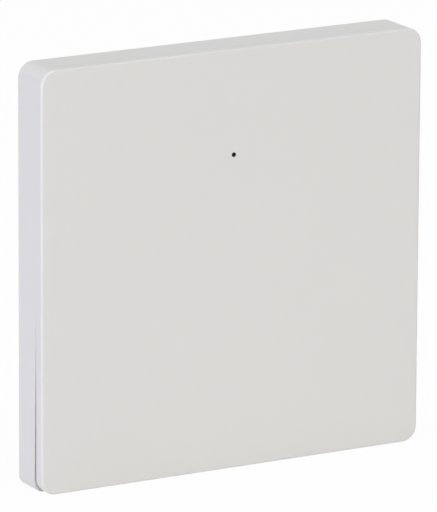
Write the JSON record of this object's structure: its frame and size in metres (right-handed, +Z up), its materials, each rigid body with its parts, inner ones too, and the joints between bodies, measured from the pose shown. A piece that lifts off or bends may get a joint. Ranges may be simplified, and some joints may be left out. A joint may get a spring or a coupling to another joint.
{
  "type": "smart light switch",
  "caption": "Square smart wall light switch with a full-face rocking key plate, a pinhole indicator and an in-wall relay module.",
  "frame": {"origin": "middle of the two fixing slots on the wall plane, which is also the middle of the plate", "axes": "+X to the right as seen from the room, +Y into the wall, +Z up"},
  "size_m": [0.086, 0.0378, 0.086],
  "materials": {
    "white_shell": "fine satin, warm white, moulded colour",
    "soft_pad": "soft grey silicone",
    "spring_steel": "bright drawn wire",
    "inner_plastic": "plain moulded white",
    "clear_guide": "clear polycarbonate, polished ends",
    "board_green": "green solder mask on glass fibre",
    "board_blue": "blue solder mask on glass fibre",
    "black_plastic": "plain moulded black",
    "button_plastic": "plain natural nylon",
    "lamp_white": "milky lamp lens",
    "shield_metal": "tinned shield can",
    "plated_pins": "gold-plated pins",
    "zinc_steel": "zinc-plated steel",
    "module_plastic": "fine-grained flame-retardant moulding",
    "terminal_plastic": "plain moulded dark grey",
    "terminal_brass": "stamped brass",
    "clamp_steel": "yellow-passivated steel",
    "relay_plastic": "smooth blue moulding",
    "soft_iron": "nickel-plated iron",
    "copper_wire": "enamelled copper winding",
    "ferrite": "ground ferrite",
    "yellow_tape": "yellow polyester tape",
    "capacitor_sleeve": "black shrink sleeve",
    "film_box": "smooth yellow box",
    "fuse_body": "smooth brown moulding",
    "varistor_coat": "dipped blue epoxy"
  },
  "bodies": {
    "switch_base": {"base_frame": "white_shell", "bridge_rectifier": "black_plastic", "case_screws": "zinc_steel", "control_board": "board_green", "converter_chip": "black_plastic", "filter_capacitor": "film_box", "fuse": "fuse_body", "light_guide": "clear_guide", "link_header": "black_plastic", "link_pins": "plated_pins", "link_socket": "black_plastic", "mechanism_cover": "inner_plastic", "power_board": "board_green", "processor": "black_plastic", "radio_board": "board_blue", "radio_shield": "shield_metal", "rear_housing": "module_plastic", "relay_base": "relay_plastic", "relay_bobbin": "button_plastic", "relay_case": "relay_plastic", "relay_fixed_contact": "terminal_brass", "relay_winding": "copper_wire", "relay_yoke": "soft_iron", "return_spring": "spring_steel", "spacer_sleeves": "inner_plastic", "status_led": "lamp_white", "stop_pads": "soft_pad", "storage_capacitor": "capacitor_sleeve", "tact_switch": "black_plastic", "terminal_bars": "terminal_brass", "terminal_block": "terminal_plastic", "transformer_base": "black_plastic", "transformer_core": "ferrite", "transformer_winding": "yellow_tape", "varistor": "varistor_coat"},
    "key": {"key_plate": "white_shell"},
    "button": {"tact_plunger": "button_plastic"},
    "armature": {"relay_armature": "soft_iron", "relay_moving_contact": "terminal_brass"},
    "screw_1": {"terminal_screw_1": "zinc_steel"},
    "clamp_1": {"terminal_clamp_1": "clamp_steel"},
    "screw_2": {"terminal_screw_2": "zinc_steel"},
    "clamp_2": {"terminal_clamp_2": "clamp_steel"},
    "screw_3": {"terminal_screw_3": "zinc_steel"},
    "clamp_3": {"terminal_clamp_3": "clamp_steel"}
  },
  "joints": [
    {"name": "key_rock", "type": "hinge", "parent": "switch_base", "child": "key", "pos_m": [0, -0.0062, -0.005], "axis": [1, 0, 0], "range_deg": [0, 1.1], "stiffness_Nm_per_rad": 3, "springref_deg": -0.96, "deforming": ["return_spring"]},
    {"name": "button_press", "type": "slide", "parent": "switch_base", "child": "button", "axis": [0, 1, 0], "range_m": [0, 0.00031]},
    {"name": "armature_swing", "type": "hinge", "parent": "switch_base", "child": "armature", "pos_m": [-0.00915, 0.0135, -0.002], "axis": [0, 0, 1], "range_deg": [0, 4], "stiffness_Nm_per_rad": 0.02, "springref_deg": -2.86},
    {"name": "screw_1_turn", "type": "hinge", "parent": "switch_base", "child": "screw_1", "pos_m": [-0.01, 0.02, -0.022], "axis": [0, 0, 1], "range_deg": [0, 1800]},
    {"name": "clamp_1_slide", "type": "slide", "parent": "switch_base", "child": "clamp_1", "axis": [0, 0, -1], "range_m": [0, 0.0025]},
    {"name": "screw_2_turn", "type": "hinge", "parent": "switch_base", "child": "screw_2", "pos_m": [0, 0.02, -0.022], "axis": [0, 0, 1], "range_deg": [0, 1800]},
    {"name": "clamp_2_slide", "type": "slide", "parent": "switch_base", "child": "clamp_2", "axis": [0, 0, -1], "range_m": [0, 0.0025]},
    {"name": "screw_3_turn", "type": "hinge", "parent": "switch_base", "child": "screw_3", "pos_m": [0.01, 0.02, -0.022], "axis": [0, 0, 1], "range_deg": [0, 1800]},
    {"name": "clamp_3_slide", "type": "slide", "parent": "switch_base", "child": "clamp_3", "axis": [0, 0, -1], "range_m": [0, 0.0025]}
  ],
  "couplings": [
    {"joint": "button_press", "follows": "key_rock", "m_per_rad": 0.016},
    {"joint": "screw_1_turn", "follows": "clamp_1_slide", "rad_per_m": 12566},
    {"joint": "screw_2_turn", "follows": "clamp_2_slide", "rad_per_m": 12566},
    {"joint": "screw_3_turn", "follows": "clamp_3_slide", "rad_per_m": 12566}
  ]
}
